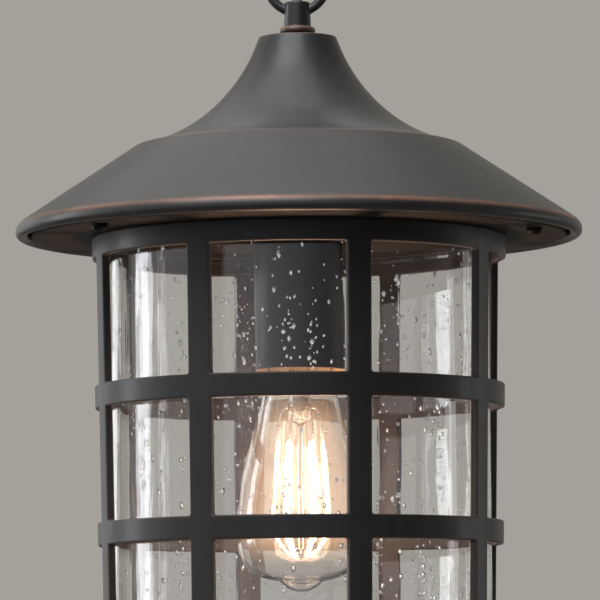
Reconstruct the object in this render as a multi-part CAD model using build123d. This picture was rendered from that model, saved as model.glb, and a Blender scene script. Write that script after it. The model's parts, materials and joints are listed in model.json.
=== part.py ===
from build123d import *
from math import cos, pi, radians, sin, sqrt, tan
import os

# Outdoor hanging lantern, in millimetres, +Z up.
# The origin is the inner top of the hanging loop, where the hook of a chain carries it.

# Hanging loop and collar
loop_wire = 4.2
loop_radius = 13.55
braze_gap = 0.1
collar_rise = 2.25
collar_height = 11.2
collar_wall = 1.2
collar_taper = 0.5
collar_edge = 0.6
flange_height = 3.4
flange_reach = 1.95
washer_inset = 0.55
washer_thickness = 1.3

# Supply cord
cord_diameter = 4.6
bushing_play = 0.6
bushing_height = 2.4
bushing_gap = 0.1
strip_length = 14.0
strip_spread = 1.25
lead_diameter = 1.5
ground_diameter = 1.3

# Stem pipe and its nuts
stem_diameter = 9.6
stem_play = 0.9
stem_gap = 0.2
nut_flats = 14.0
roof_nut_height = 5.0
lock_washer_thickness = 1.0
lock_washer_reach = 1.0
shield_nut_height = 5.0
cup_nut_height = 3.4

# Roof
roof_radius = 127.0
roof_wall = 2.0
roof_plate = 2.6
top_radius = 17.65
top_edge = 0.9
shoulder_radius = 73.4
bell_height = 49.84
bell_top_angle = 71.6
bell_top_reach = 26.5
bell_foot_angle = 9.9
bell_foot_reach = 25.9
cone_angle = 33.65
bead_diameter = 5.4
bead_arc_radius = 5.4

# Mounting pan, its screws and the roof's bosses
pan_gap = 1.6
pan_thickness = 2.0
pan_recess = 0.3
pan_hole_radius = 33.0
pan_lip_height = 5.0
pan_lip_wall = 1.6
pan_edge = 1.2
boss_diameter = 8.0
roof_screw_inset = 8.8
roof_screw_diameter = 4.0
roof_screw_head = 7.0
roof_screw_head_height = 3.0
roof_screw_length = 11.0
roof_screw_angles = (-135.0, -15.0, 105.0)
driver_slot = 1.2
screw_gap = 0.15
boss_hole_spare = 0.8

# Cage
cage_margin = 27.15
cage_taper = 3.45
cage_wall = 3.6
bar_count = 8
bar_width = 10.8
top_band = 9.7
first_window = 56.6
window_height = 50.8
lower_windows = 2
ring_height = 10.4
foot_band = 12.0
window_corner = 1.1
lip_margin = 1.7
lip_thickness = 3.0
cage_boss_gap = 0.25
cage_boss_diameter = 6.0
cage_boss_above_window = 2.4
cage_screw_diameter = 3.0
cage_screw_head = 5.6
cage_screw_head_height = 2.0
cage_screw_length = 8.0
cage_screw_count = 4

# Glass and its gaskets
glass_gap = 0.6
glass_wall = 3.0
top_gasket_height = 2.4
foot_gasket_height = 1.6
gasket_overhang = 0.3

# Heat shield and socket cup
shield_overlap = 11.0
shield_thickness = 1.0
shield_gap = 2.1
cup_radius = 20.15
cup_wall = 0.9
cup_plate = 1.2
cup_height = 63.7
cup_corner = 3.0

# Lampholder
cap_gap = 1.85
cap_plate = 1.4
cap_hub_wall = 3.1
cap_hub_height = 6.0
body_gap = 0.95
body_drop = 3.2
porcelain_floor = 4.0
body_foot_edge = 1.0
shell_wall = 0.5
shell_gap = 0.3
shell_length = 25.0
shell_recess = 1.0
lamp_gap = 0.35
shell_above_contact = 2.4
hub_recess = 6.0
channel_width = 5.4
channel_clear = 0.6
ground_channel_width = 2.4
ground_channel_angle = 65.0
post_radius = 2.6
post_inset = 4.8
post_angle = 115.0
terminal_diameter = 4.6
terminal_height = 2.2
terminal_inset = 6.8
ground_screw_diameter = 5.0
ground_screw_height = 2.0
ground_screw_inset = 4.4
contact_leaf_diameter = 7.0
contact_leaf_thickness = 0.6
contact_rivet_diameter = 3.0
contact_gap = 0.3

# Leads inside the lampholder
lead_bend = 1.8
lead_clear = 0.3
lead_spread = 1.5
inner_cord_foot_rise = 1.0

# Lamp
base_radius = 13.1
base_length = 22.5
base_wall = 0.4
base_insulator_height = 3.2
base_contact_radius = 4.6
base_contact_height = 1.0
lamp_length = 141.1
envelope_wall = 0.9
envelope_radius = 28.7
neck_gap = 0.3
neck_length = 12.0
widest_above_tip = 25.5
nipple_radius = 10.2
nipple_height = 4.7
shoulder_reach = 13.0
stem_flare_radius = 5.1
stem_rod_radius = 1.2
stem_flare_above_tip = 82.0
stem_press_height = 6.0
stem_rod_above_tip = 14.0
stem_neck_gap = 0.2
filament_count = 6
filament_radius = 0.9
filament_top_circle = 10.0
filament_belly_circle = 12.3
filament_foot_circle = 2.6
filament_top_above_tip = 68.0
filament_belly_above_tip = 33.5
filament_start_angle = 10.0
support_wire_radius = 0.35
support_gap = 0.3
driver_length = 16.0
driver_width = 14.0
driver_thickness = 5.0
driver_gap = 1.2

# Radii that follow
stem_hole_radius = stem_diameter / 2 + stem_gap / 2
collar_radius = stem_hole_radius + collar_wall
collar_top_radius = collar_radius - collar_taper
flange_radius = collar_radius + flange_reach
pan_radius = roof_radius - bead_diameter - pan_gap
roof_screw_circle = pan_radius - roof_screw_inset
cage_top_radius = pan_radius - cage_margin
cage_foot_radius = cage_top_radius - cage_taper
glass_radius = cage_foot_radius - cage_wall - glass_gap
glass_inner = glass_radius - glass_wall
cage_screw_circle = glass_radius + gasket_overhang / 2 + cage_boss_gap + cage_boss_diameter / 2
lip_width = glass_gap + glass_wall + gasket_overhang + lip_margin
cap_radius = cup_radius - cup_wall - cap_gap
cap_hub_radius = stem_hole_radius + cap_hub_wall
body_radius = cup_radius - cup_wall - body_gap
post_circle = body_radius - post_inset
terminal_circle = body_radius - terminal_inset
channel_reach = terminal_circle + terminal_diameter / 2 + channel_clear
ground_screw_circle = cap_radius - ground_screw_inset
shell_inner = base_radius + lamp_gap
shell_outer = shell_inner + shell_wall
neck_radius = base_radius - base_wall - neck_gap

# Heights that follow, all measured from the hang point
loop_centre_z = loop_wire / 2 - loop_radius
collar_top_z = loop_centre_z - loop_radius + loop_wire / 2 + collar_rise
collar_foot_z = collar_top_z - collar_height
flange_foot_z = collar_foot_z - flange_height
roof_top_z = flange_foot_z - washer_thickness
roof_plate_z = roof_top_z - roof_plate
shoulder_z = roof_top_z - bell_height
cone_slope = tan(radians(cone_angle))


def cone_z(radius, depth=0.0):
    """Height of the roof's cone at a radius, or of a surface that lies depth below it."""
    return shoulder_z - (radius - shoulder_radius) * cone_slope - depth / cos(radians(cone_angle))


bead_corner_reach = bead_arc_radius * tan(radians(90 - cone_angle) / 2)
bead_z = cone_z(roof_radius) - bead_corner_reach
pan_foot_z = bead_z - bead_diameter / 2 + pan_recess
pan_top_z = pan_foot_z + pan_thickness
pan_lip_z = pan_foot_z + pan_lip_height

cage_top_z = pan_foot_z
window_tops = [cage_top_z - top_band]
window_feet = [window_tops[0] - first_window]
for row in range(lower_windows):
    window_tops.append(window_feet[-1] - ring_height)
    window_feet.append(window_tops[-1] - window_height)
cage_foot_z = window_feet[-1] - foot_band
cage_lip_z = cage_foot_z + lip_thickness
glass_top_z = pan_foot_z - top_gasket_height
glass_foot_z = cage_lip_z + foot_gasket_height

shield_foot_z = pan_top_z + shield_gap
shield_top_z = shield_foot_z + shield_thickness
cup_top_z = shield_foot_z
cup_inner_z = cup_top_z - cup_plate
cup_foot_z = cup_top_z - cup_height
stem_top_z = collar_top_z - bushing_height - bushing_gap
cap_top_z = cup_inner_z - cup_nut_height
stem_foot_z = cap_top_z - cap_hub_height
body_top_z = cap_top_z - cap_plate - body_drop
recess_z = body_top_z - hub_recess
shell_top_z = recess_z - porcelain_floor
shell_foot_z = shell_top_z - shell_length
body_foot_z = shell_foot_z - shell_recess
inner_cord_foot_z = stem_foot_z + inner_cord_foot_rise

lamp_top_z = shell_top_z - shell_above_contact
lamp_tip_z = lamp_top_z - lamp_length
base_insulator_z = lamp_top_z - base_contact_height
base_top_z = base_insulator_z - base_insulator_height
base_foot_z = base_top_z - base_length
widest_z = lamp_tip_z + widest_above_tip


def ring(outer, inner, low, high):
    """A round ring or tube between two heights."""
    tube = Pos(0, 0, low) * extrude(Circle(outer), high - low)
    if inner > 0:
        tube -= Pos(0, 0, low) * extrude(Circle(inner), high - low)
    return tube


def turned(*points):
    """A solid of revolution about Z from (radius, height) corners."""
    face = make_face(Polyline(*[(r, z) for r, z in points], close=True))
    return revolve(Plane.XZ * face, Axis.Z)


def turned_edges(*edges):
    """A solid of revolution about Z from a closed chain of plane curves."""
    return revolve(Plane.XZ * make_face(Curve() + list(edges)), Axis.Z)


def around(count, radius, start=0.0):
    """Places on a circle about Z, the X axis of each pointing outwards."""
    return [Rot(0, 0, start + 360 * i / count) * Pos(radius, 0, 0) for i in range(count)]


def save(name, shape):
    """Writes one sub-part, as the solids that it is made of."""
    shape = Compound(shape.solids()) if len(shape.solids()) > 1 else shape.solids()[0]
    export_step(shape, f"parts/{name}.step")


def hex_nut(flats, low, height):
    """A hexagon nut on the stem pipe."""
    body = Pos(0, 0, low) * extrude(RegularPolygon(flats / 2, 6, major_radius=False), height)
    return body - ring(stem_hole_radius, 0, low, low + height)


# Loop and collar


def hang_loop():
    """A round wire ring whose ends meet the sides of the collar."""
    wire = Pos(0, 0, loop_centre_z) * Rot(90, 0, 0) * Torus(loop_radius, loop_wire / 2)
    clearance = turned(
        (0, flange_foot_z),
        (collar_radius + braze_gap, flange_foot_z),
        (collar_radius + braze_gap, collar_foot_z),
        (collar_top_radius + braze_gap, collar_top_z + braze_gap),
        (0, collar_top_z + braze_gap),
    )
    return wire - clearance


def loop_collar():
    """A short, slightly tapered sleeve with a rounded top edge and a half-round flange."""
    outer, flange = collar_top_radius, flange_radius
    middle = collar_foot_z - flange_height / 2
    top = collar_top_z - collar_edge
    quarter = collar_edge * (1 - sqrt(0.5))
    return turned_edges(
        Line((stem_hole_radius, collar_top_z), (outer - collar_edge, collar_top_z)),
        ThreePointArc(
            (outer - collar_edge, collar_top_z),
            (outer - quarter, collar_top_z - quarter),
            (outer, top),
        ),
        Line((outer, top), (collar_radius, collar_foot_z)),
        Line((collar_radius, collar_foot_z), (flange - flange_height / 2, collar_foot_z)),
        ThreePointArc(
            (flange - flange_height / 2, collar_foot_z),
            (flange, middle),
            (flange - flange_height / 2, flange_foot_z),
        ),
        Line((flange - flange_height / 2, flange_foot_z), (stem_hole_radius, flange_foot_z)),
        Line((stem_hole_radius, flange_foot_z), (stem_hole_radius, collar_top_z)),
    )


# Roof


def bell_edge(depth):
    """The bell's curve, or the curve that lies depth inside it."""
    steep, flat = radians(bell_top_angle), radians(bell_foot_angle)
    top = (top_radius - depth / sin(steep), roof_top_z - top_edge / 2)
    if depth > 0:
        top = (top_radius - depth / sin(steep), roof_plate_z)
    foot_radius = shoulder_radius - depth * sin(radians(cone_angle))
    foot = (foot_radius, cone_z(foot_radius, depth))
    return Bezier(
        top,
        (top[0] + bell_top_reach * cos(steep), top[1] - bell_top_reach * sin(steep)),
        (foot[0] - bell_foot_reach * cos(flat), foot[1] + bell_foot_reach * sin(flat)),
        foot,
    )


def roof():
    """A spun hood: bell, shoulder, cone and rolled bead, with three bosses for the pan."""
    bead = bead_diameter / 2
    arc_centre = roof_radius - bead_arc_radius
    arc_start = roof_radius - bead_corner_reach * cos(radians(cone_angle))
    half_turn = radians(90 - cone_angle) / 2
    bead_inner = roof_radius - bead_diameter
    bell = bell_edge(0)
    outside = turned_edges(
        Line((0, roof_top_z), (top_radius - top_edge, roof_top_z)),
        Line((top_radius - top_edge, roof_top_z), bell @ 0),
        bell,
        Line(bell @ 1, (arc_start, cone_z(arc_start))),
        ThreePointArc(
            (arc_start, cone_z(arc_start)),
            (arc_centre + bead_arc_radius * cos(half_turn), bead_z + bead_arc_radius * sin(half_turn)),
            (roof_radius, bead_z),
        ),
        ThreePointArc((roof_radius, bead_z), (roof_radius - bead, bead_z - bead), (bead_inner, bead_z)),
        Line((bead_inner, bead_z), (0, bead_z)),
        Line((0, bead_z), (0, roof_top_z)),
    )
    hollow = bell_edge(roof_wall)
    inside = turned_edges(
        Line((0, roof_plate_z), hollow @ 0),
        hollow,
        Line(hollow @ 1, (bead_inner, cone_z(bead_inner, roof_wall))),
        Line((bead_inner, cone_z(bead_inner, roof_wall)), (bead_inner, bead_z)),
        Line((bead_inner, bead_z), (0, bead_z)),
        Line((0, bead_z), (0, roof_plate_z)),
    )
    hood = outside - inside - ring(stem_hole_radius, 0, roof_plate_z, roof_top_z)
    under = outside + ring(bead_inner, 0, pan_top_z, cone_z(bead_inner))
    for angle in roof_screw_angles:
        place = Rot(0, 0, angle) * Pos(roof_screw_circle, 0, 0)
        post = place * ring(boss_diameter / 2, 0, pan_top_z, shoulder_z)
        hood += post & under
    depth = roof_screw_length - pan_thickness + boss_hole_spare
    for angle in roof_screw_angles:
        place = Rot(0, 0, angle) * Pos(roof_screw_circle, 0, 0)
        hood -= place * ring(roof_screw_diameter / 2 + screw_gap, 0, pan_top_z, pan_top_z + depth)
    return hood


# Mounting pan and its screws


def mounting_pan():
    """A flat disc with an upturned lip, holed for the lamp and for both sets of screws."""
    outer, lip_inner = pan_radius, pan_radius - pan_lip_wall
    dish = turned_edges(
        Line((pan_hole_radius, pan_foot_z), (outer - pan_edge, pan_foot_z)),
        ThreePointArc(
            (outer - pan_edge, pan_foot_z),
            (outer - pan_edge * (1 - sqrt(0.5)), pan_foot_z + pan_edge * (1 - sqrt(0.5))),
            (outer, pan_foot_z + pan_edge),
        ),
        Line((outer, pan_foot_z + pan_edge), (outer, pan_lip_z)),
        Line((outer, pan_lip_z), (lip_inner, pan_lip_z)),
        Line((lip_inner, pan_lip_z), (lip_inner, pan_top_z)),
        Line((lip_inner, pan_top_z), (pan_hole_radius, pan_top_z)),
        Line((pan_hole_radius, pan_top_z), (pan_hole_radius, pan_foot_z)),
    )
    for angle in roof_screw_angles:
        place = Rot(0, 0, angle) * Pos(roof_screw_circle, 0, 0)
        dish -= place * ring(roof_screw_diameter / 2 + screw_gap, 0, pan_foot_z, pan_top_z)
    for place in cage_screw_places():
        dish -= place * ring(cage_screw_diameter / 2 + screw_gap, 0, pan_foot_z, pan_top_z)
    return dish


def round_head_screw(diameter, length, head, head_height, slot_depth):
    """A screw that points up from its seat at height 0, with a domed slotted head below."""
    radius = head / 2
    crown = turned_edges(
        Line((0, 0), (radius, 0)),
        Line((radius, 0), (radius, -head_height * 0.4)),
        ThreePointArc(
            (radius, -head_height * 0.4), (radius * 0.72, -head_height * 0.85), (0, -head_height)
        ),
        Line((0, -head_height), (0, 0)),
    )
    slot = Pos(0, 0, -head_height) * Box(head * 1.2, driver_slot, slot_depth * 2)
    return crown - slot + ring(diameter / 2, 0, 0, length)


def roof_screw(angle):
    """One screw that holds the pan to the roof, its head under the pan."""
    screw = round_head_screw(
        roof_screw_diameter,
        roof_screw_length,
        roof_screw_head,
        roof_screw_head_height,
        roof_screw_head_height * 0.4,
    )
    return Rot(0, 0, angle) * Pos(roof_screw_circle, 0, pan_foot_z) * screw


def cage_screw_places():
    """Where the pan's screws stand: behind every second bar."""
    return around(cage_screw_count, cage_screw_circle, 180 / bar_count)


def pan_screws():
    """Four screws through the pan into the cage's bosses, heads up."""
    head = cage_screw_head_height
    screw = Rot(180, 0, 0) * round_head_screw(
        cage_screw_diameter, cage_screw_length, cage_screw_head, head, head * 0.4
    )
    return Compound([place * Pos(0, 0, pan_top_z) * screw for place in cage_screw_places()])


# Cage


def window_cutter(low, high):
    """A wedge with rounded corners that leaves bars of one width on both its sides."""
    half = radians(180 / bar_count)
    near = bar_width / 2 / sin(half)
    far = cage_top_radius * 1.1
    reach = far - near
    wedge = Pos(near, 0, low) * extrude(
        make_face(
            Polyline((0, 0), (reach, -reach * tan(half)), (reach, reach * tan(half)), close=True)
        ),
        high - low,
    )
    corners = [
        edge
        for edge in wedge.edges()
        if abs(edge.center().Y) > 1 and abs(edge.tangent_at(0.5).Z) < 0.5 and edge.center().X < far - 1
    ]
    return fillet(corners, window_corner)


def cage():
    """A tapered casting of bars and rings with an inward foot lip and four tapped bosses."""
    top, foot = cage_top_radius, cage_foot_radius
    body = turned(
        (top, cage_top_z),
        (top - cage_wall, cage_top_z),
        (foot - cage_wall, cage_lip_z),
        (foot - cage_wall - lip_width, cage_lip_z),
        (foot - cage_wall - lip_width, cage_foot_z),
        (foot, cage_foot_z),
    )
    for high, low in zip(window_tops, window_feet):
        cutter = window_cutter(low, high)
        for i in range(bar_count):
            body -= Rot(0, 0, 360 * i / bar_count) * cutter
    boss_foot = window_tops[0] + cage_boss_above_window
    shell = ring(top - cage_wall / 2, 0, boss_foot, cage_top_z)
    for place in cage_screw_places():
        post = place * ring(cage_boss_diameter / 2, 0, boss_foot, cage_top_z)
        body += post & shell
    depth = cage_screw_length - pan_thickness + boss_hole_spare
    for place in cage_screw_places():
        body -= place * ring(cage_screw_diameter / 2 + screw_gap, 0, cage_top_z - depth, cage_top_z)
    return body


# Glass


def glass_cylinder():
    """A plain straight cylinder that stands inside the cage."""
    return ring(glass_radius, glass_inner, glass_foot_z, glass_top_z)


def glass_gasket(low, high):
    """A flat ring under or over the edge of the glass."""
    return ring(glass_radius + gasket_overhang / 2, glass_inner - gasket_overhang, low, high)


# Heat shield and socket cup


def heat_shield():
    """A disc that covers the pan's hole from above."""
    return ring(pan_hole_radius + shield_overlap, stem_hole_radius, shield_foot_z, shield_top_z)


def socket_cup():
    """A deep drawn cup, open below, with a rounded top corner."""
    outside = ring(cup_radius, 0, cup_foot_z, cup_top_z)
    outside = fillet(outside.edges().sort_by(Axis.Z)[-1], cup_corner)
    inside = ring(cup_radius - cup_wall, 0, cup_foot_z, cup_inner_z)
    inside = fillet(inside.edges().sort_by(Axis.Z)[-1], cup_corner - cup_wall)
    return outside - inside - ring(stem_hole_radius, 0, cup_inner_z, cup_top_z)


# Lampholder


def lampholder_cap():
    """A plate with a threaded hub that screws on the stem pipe."""
    plate = ring(cap_radius, stem_hole_radius, cap_top_z - cap_plate, cap_top_z)
    return plate + ring(cap_hub_radius, stem_hole_radius, cap_top_z - cap_hub_height, cap_top_z)


def lampholder_body():
    """A porcelain sleeve round the screw shell, hung on two posts from the cap."""
    body = ring(body_radius, 0, body_foot_z, body_top_z)
    body = chamfer(body.edges().sort_by(Axis.Z)[0], body_foot_edge)
    body -= ring(shell_outer + shell_gap, 0, body_foot_z, shell_top_z)
    body -= ring(cap_hub_radius + shell_gap, 0, recess_z, body_top_z)
    middle = (recess_z + body_top_z) / 2
    body -= Pos(0, 0, middle) * Box(2 * channel_reach, channel_width, hub_recess)
    ground = Pos(channel_reach / 2, 0, middle) * Box(channel_reach, ground_channel_width, hub_recess)
    body -= Rot(0, 0, ground_channel_angle) * ground
    for place in around(2, post_circle, post_angle):
        body += place * ring(post_radius, 0, body_top_z, cap_top_z - cap_plate)
    return body - ring(contact_rivet_diameter / 2 + screw_gap, 0, shell_top_z, recess_z)


def screw_shell():
    """The brass shell that the lamp turns into, open below."""
    shell = ring(shell_outer, shell_inner, shell_foot_z, shell_top_z)
    hole = contact_leaf_diameter / 2 + contact_gap
    return shell + ring(shell_inner, hole, shell_top_z - shell_wall, shell_top_z)


def centre_contact():
    """A rivet through the porcelain with a springy leaf under it."""
    low = lamp_top_z + contact_gap
    leaf = ring(contact_leaf_diameter / 2, 0, low, low + contact_leaf_thickness)
    return leaf + ring(contact_rivet_diameter / 2, 0, low, recess_z + contact_leaf_thickness)


def terminal_screws():
    """Two binding screws on the floor of the porcelain's channel."""
    radius, low = terminal_diameter / 2, recess_z
    places = around(2, terminal_circle)
    return Compound([place * ring(radius, 0, low, low + terminal_height) for place in places])


def ground_screw():
    """The screw under the cap that holds the ground lead."""
    place = Rot(0, 0, ground_channel_angle) * Pos(ground_screw_circle, 0, 0)
    low = cap_top_z - cap_plate - ground_screw_height
    return place * ring(ground_screw_diameter / 2, 0, low, low + ground_screw_height)


# Leads


def bent_lead(points, diameter):
    """A lead of straight runs joined by tangent arcs."""
    path = FilletPolyline(*points, radius=lead_bend)
    return sweep(Plane(origin=path @ 0, z_dir=path % 0) * Circle(diameter / 2), path)


def terminal_lead(angle):
    """A lead from the pipe's foot along the channel to its terminal screw."""
    low = recess_z + lead_diameter / 2 + lead_clear
    reach = terminal_circle - terminal_diameter / 2 - lead_clear
    points = [(lead_spread, 0, inner_cord_foot_z), (lead_spread, 0, low), (reach, 0, low)]
    return Rot(0, 0, angle) * bent_lead(points, lead_diameter)


def ground_lead():
    """A lead from the pipe's foot along its own channel and up to the ground screw."""
    low = recess_z + ground_diameter / 2 + lead_clear
    high = cap_top_z - cap_plate - ground_screw_height - lead_clear
    points = [
        (lead_spread, 0, inner_cord_foot_z),
        (lead_spread, 0, low),
        (ground_screw_circle, 0, low),
        (ground_screw_circle, 0, high),
    ]
    return Rot(0, 0, ground_channel_angle) * bent_lead(points, ground_diameter)


# The cord's free route above the collar's top: up, back behind the loop, and up again
cord_route = (
    (0, 0, 0),
    (0, 0, 5.0),
    (0.2, 3.9, 9.6),
    (0.5, 9.3, 14.2),
    (0.8, 13.2, 21.2),
    (0.5, 13.6, 30.2),
    (-0.4, 12.6, 39.4),
    (-1.1, 11.4, 48.4),
    (-1.3, 10.8, 57.2),
)


def cord_bends(points):
    """Each bend's radius: 0.45 of its shorter run, divided by the tangent of half the turn."""
    radii = []
    for before, here, after in zip(points, points[1:], points[2:]):
        a, b = Vector(*here) - Vector(*before), Vector(*after) - Vector(*here)
        radii.append(0.45 * min(a.length, b.length) / tan(radians(a.get_angle(b)) / 2))
    return radii


def supply_cord():
    """The free stretch of the cord."""
    points = [(x, y, collar_top_z + rise) for x, y, rise in cord_route]
    radii = cord_bends(points)
    path = FilletPolyline(*points, radius=radii)
    tube = sweep(Plane(origin=path @ 0, z_dir=path % 0) * Circle(cord_diameter / 2), path)
    print("cord length", round(path.length, 1), "radii", [round(r, 1) for r in radii])
    print("cord volume share", round(tube.volume / (path.length * pi * cord_diameter**2 / 4), 4))
    return tube, path


def cord_end_leads(path):
    """Three stripped leads at the cord's far end."""
    end = Plane(origin=path @ 1, z_dir=path % 1)
    lead = extrude(Circle(ground_diameter / 2), strip_length)
    return Compound([end * place * lead for place in around(3, strip_spread)])


def cord_bushing():
    """An insulating ring that keeps the cord off the collar's edge."""
    inner = cord_diameter / 2 + bushing_play
    return ring(stem_diameter / 2, inner, collar_top_z - bushing_height, collar_top_z)


def inner_cord():
    """The stretch of the cord inside the stem pipe."""
    return ring(cord_diameter / 2, 0, inner_cord_foot_z, collar_top_z)


# Lamp


def envelope_profile(depth):
    """The pear-shaped outline of the lamp from its neck to its tip, drawn in by depth."""
    neck = neck_radius - depth
    neck_foot = base_foot_z - neck_length / 4
    wide = envelope_radius - depth
    tip = lamp_tip_z + depth
    crook = nipple_radius - depth
    crook_z = lamp_tip_z + nipple_height + depth
    flank = Spline(
        (neck, neck_foot), (wide, widest_z), tangents=((0.12, -1), (0, -1)), tangent_scalars=(1.0, 1.0)
    )
    shoulder = Bezier(
        (wide, widest_z),
        (wide, widest_z - shoulder_reach),
        (crook + shoulder_reach, crook_z + nipple_height * 0.45),
        (crook, crook_z),
    )
    nose = Bezier(
        (crook, crook_z),
        (crook * 0.62, crook_z - nipple_height * 0.5),
        (crook * 0.55, tip),
        (0, tip),
    )
    return [flank, shoulder, nose]


def bulb_envelope():
    """Clear glass of even wall, open at the neck, where the stem is sealed in."""
    top = base_foot_z + neck_length / 2
    solids = []
    for depth in (0, envelope_wall):
        curves = envelope_profile(depth)
        start = curves[0] @ 0
        solids.append(
            turned_edges(
                Line((0, top), (start.X, top)),
                Line((start.X, top), (start.X, start.Y)),
                *curves,
                Line(curves[-1] @ 1, (0, top)),
            )
        )
    return solids[0] - solids[1]


def bulb_base_shell():
    """The thin metal screw base, drawn in to a narrow hole at its top."""
    outer = ring(base_radius, base_radius - base_wall, base_foot_z, base_top_z)
    return outer + ring(base_radius, base_contact_radius + 1.4, base_top_z, base_top_z + base_wall)


def bulb_insulator():
    """A glassy cone between the base shell and the centre contact."""
    return turned(
        (0, base_top_z + base_wall),
        (base_radius - 1.2, base_top_z + base_wall),
        (base_contact_radius + 0.4, base_insulator_z),
        (0, base_insulator_z),
    )


def bulb_contact():
    """The solder button at the top of the base."""
    dome = ring(base_contact_radius, 0, base_insulator_z, lamp_top_z)
    return chamfer(dome.edges().sort_by(Axis.Z)[-1], base_contact_height * 0.6)


def stem_levels():
    """Heights of the glass stem: its sealed top, the flare and the rod's end."""
    top = base_foot_z + neck_length / 2 - stem_neck_gap
    flare = lamp_tip_z + stem_flare_above_tip
    return top, flare, lamp_tip_z + stem_rod_above_tip


def bulb_stem():
    """A glass tube that opens to the neck, closes at a pressed flare and goes on as a rod."""
    top, flare, rod_end = stem_levels()
    rim = neck_radius - envelope_wall - stem_neck_gap
    return turned(
        (0, top - 2.0),
        (rim - 1.0, top),
        (rim, top),
        (rim - 1.6, top - 4.0),
        (stem_flare_radius, top - 12.0),
        (stem_flare_radius, flare),
        (stem_rod_radius * 2, flare - stem_press_height),
        (stem_rod_radius, flare - stem_press_height * 1.3),
        (stem_rod_radius, rod_end),
        (0, rod_end),
    )


def filament_path():
    """One filament in the XZ plane: nearly upright, then curving in to the stem's rod."""
    top = (filament_top_circle, lamp_tip_z + filament_top_above_tip)
    belly = (filament_belly_circle, lamp_tip_z + filament_belly_above_tip)
    foot = (filament_foot_circle, lamp_tip_z + stem_rod_above_tip + 1.2)
    rise = Line(top, belly)
    return Plane.XZ * (Curve() + [rise, TangentArc(belly, foot, tangent=rise % 1)])


def bulb_filaments():
    """Upright light-giving rods round the stem, gathered at its foot."""
    path = filament_path().wire()
    rod = sweep(Plane(origin=path @ 0, z_dir=path % 0) * Circle(filament_radius), path)
    turn = [Rot(0, 0, filament_start_angle + 360 * i / filament_count) for i in range(filament_count)]
    return Compound([place * rod for place in turn])


def bulb_support_wires():
    """Fine wires from the stem's flare out to the filaments' tops."""
    flare = stem_levels()[1]
    start = (stem_flare_radius + support_gap, flare + 1.0)
    middle = (filament_top_circle - 1.0, flare - 2.0)
    end = (filament_top_circle, lamp_tip_z + filament_top_above_tip + support_gap)
    path = (Plane.XZ * Polyline(start, middle, end)).wire()
    wire = sweep(
        Plane(origin=path @ 0, z_dir=path % 0) * Circle(support_wire_radius),
        path,
        transition=Transition.ROUND,
    )
    turn = [Rot(0, 0, filament_start_angle + 360 * i / filament_count) for i in range(filament_count)]
    return Compound([place * wire for place in turn])


def led_driver():
    """The small circuit block inside the base shell."""
    high = base_top_z - driver_gap
    return Pos(0, 0, high - driver_length / 2) * Box(driver_width, driver_thickness, driver_length)


os.makedirs("parts", exist_ok=True)

save("hang_loop", hang_loop())
save("loop_collar", loop_collar())
save("loop_washer", ring(flange_radius - washer_inset, stem_hole_radius, roof_top_z, flange_foot_z))
save("cord_bushing", cord_bushing())
cord_tube, cord_path = supply_cord()
save("supply_cord", cord_tube)
save("cord_end_leads", cord_end_leads(cord_path))
save("inner_cord", inner_cord())
save("roof", roof())
lock_foot_z = roof_plate_z - lock_washer_thickness
lock_radius = nut_flats / 2 + lock_washer_reach
save("roof_lock_washer", ring(lock_radius, stem_hole_radius, lock_foot_z, roof_plate_z))
save("roof_nut", hex_nut(nut_flats, lock_foot_z - roof_nut_height, roof_nut_height))
save("stem_pipe", ring(stem_diameter / 2, cord_diameter / 2 + stem_play, stem_foot_z, stem_top_z))
save("heat_shield", heat_shield())
save("shield_nut", hex_nut(nut_flats, shield_top_z, shield_nut_height))
save("mounting_pan", mounting_pan())
save("pan_screws", pan_screws())
for number, angle in enumerate(roof_screw_angles, 1):
    save(f"roof_screw_{number}", roof_screw(angle))
save("cage", cage())
save("glass_cylinder", glass_cylinder())
save("glass_top_gasket", glass_gasket(glass_top_z, pan_foot_z))
save("glass_foot_gasket", glass_gasket(cage_lip_z, glass_foot_z))
save("socket_cup", socket_cup())
save("cup_nut", hex_nut(nut_flats, cap_top_z, cup_nut_height))
save("lampholder_cap", lampholder_cap())
save("lampholder_body", lampholder_body())
save("screw_shell", screw_shell())
save("centre_contact", centre_contact())
save("terminal_screws", terminal_screws())
save("ground_screw", ground_screw())
save("lead_black", terminal_lead(0))
save("lead_white", terminal_lead(180))
save("ground_lead", ground_lead())
save("bulb_envelope", bulb_envelope())
save("bulb_base_shell", bulb_base_shell())
save("bulb_insulator", bulb_insulator())
save("bulb_contact", bulb_contact())
save("bulb_stem", bulb_stem())
save("bulb_filaments", bulb_filaments())
save("bulb_support_wires", bulb_support_wires())
save("led_driver", led_driver())
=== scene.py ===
import json
import math

import bmesh
import bpy
import numpy as np
from mathutils import Matrix, Vector


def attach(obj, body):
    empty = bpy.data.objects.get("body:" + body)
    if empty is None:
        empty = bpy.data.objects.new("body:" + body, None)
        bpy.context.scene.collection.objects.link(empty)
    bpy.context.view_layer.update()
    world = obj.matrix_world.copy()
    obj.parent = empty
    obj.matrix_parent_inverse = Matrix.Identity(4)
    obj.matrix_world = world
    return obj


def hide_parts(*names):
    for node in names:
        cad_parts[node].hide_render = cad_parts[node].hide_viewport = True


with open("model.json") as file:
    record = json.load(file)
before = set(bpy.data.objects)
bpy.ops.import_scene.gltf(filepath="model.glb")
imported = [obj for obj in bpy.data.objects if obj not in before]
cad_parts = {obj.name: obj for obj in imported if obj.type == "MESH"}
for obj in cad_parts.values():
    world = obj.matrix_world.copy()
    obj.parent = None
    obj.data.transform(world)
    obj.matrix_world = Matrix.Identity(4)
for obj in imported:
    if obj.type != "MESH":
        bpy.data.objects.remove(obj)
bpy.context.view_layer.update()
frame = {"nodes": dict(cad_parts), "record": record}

nodes = frame["nodes"]
MM = 0.001

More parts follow.
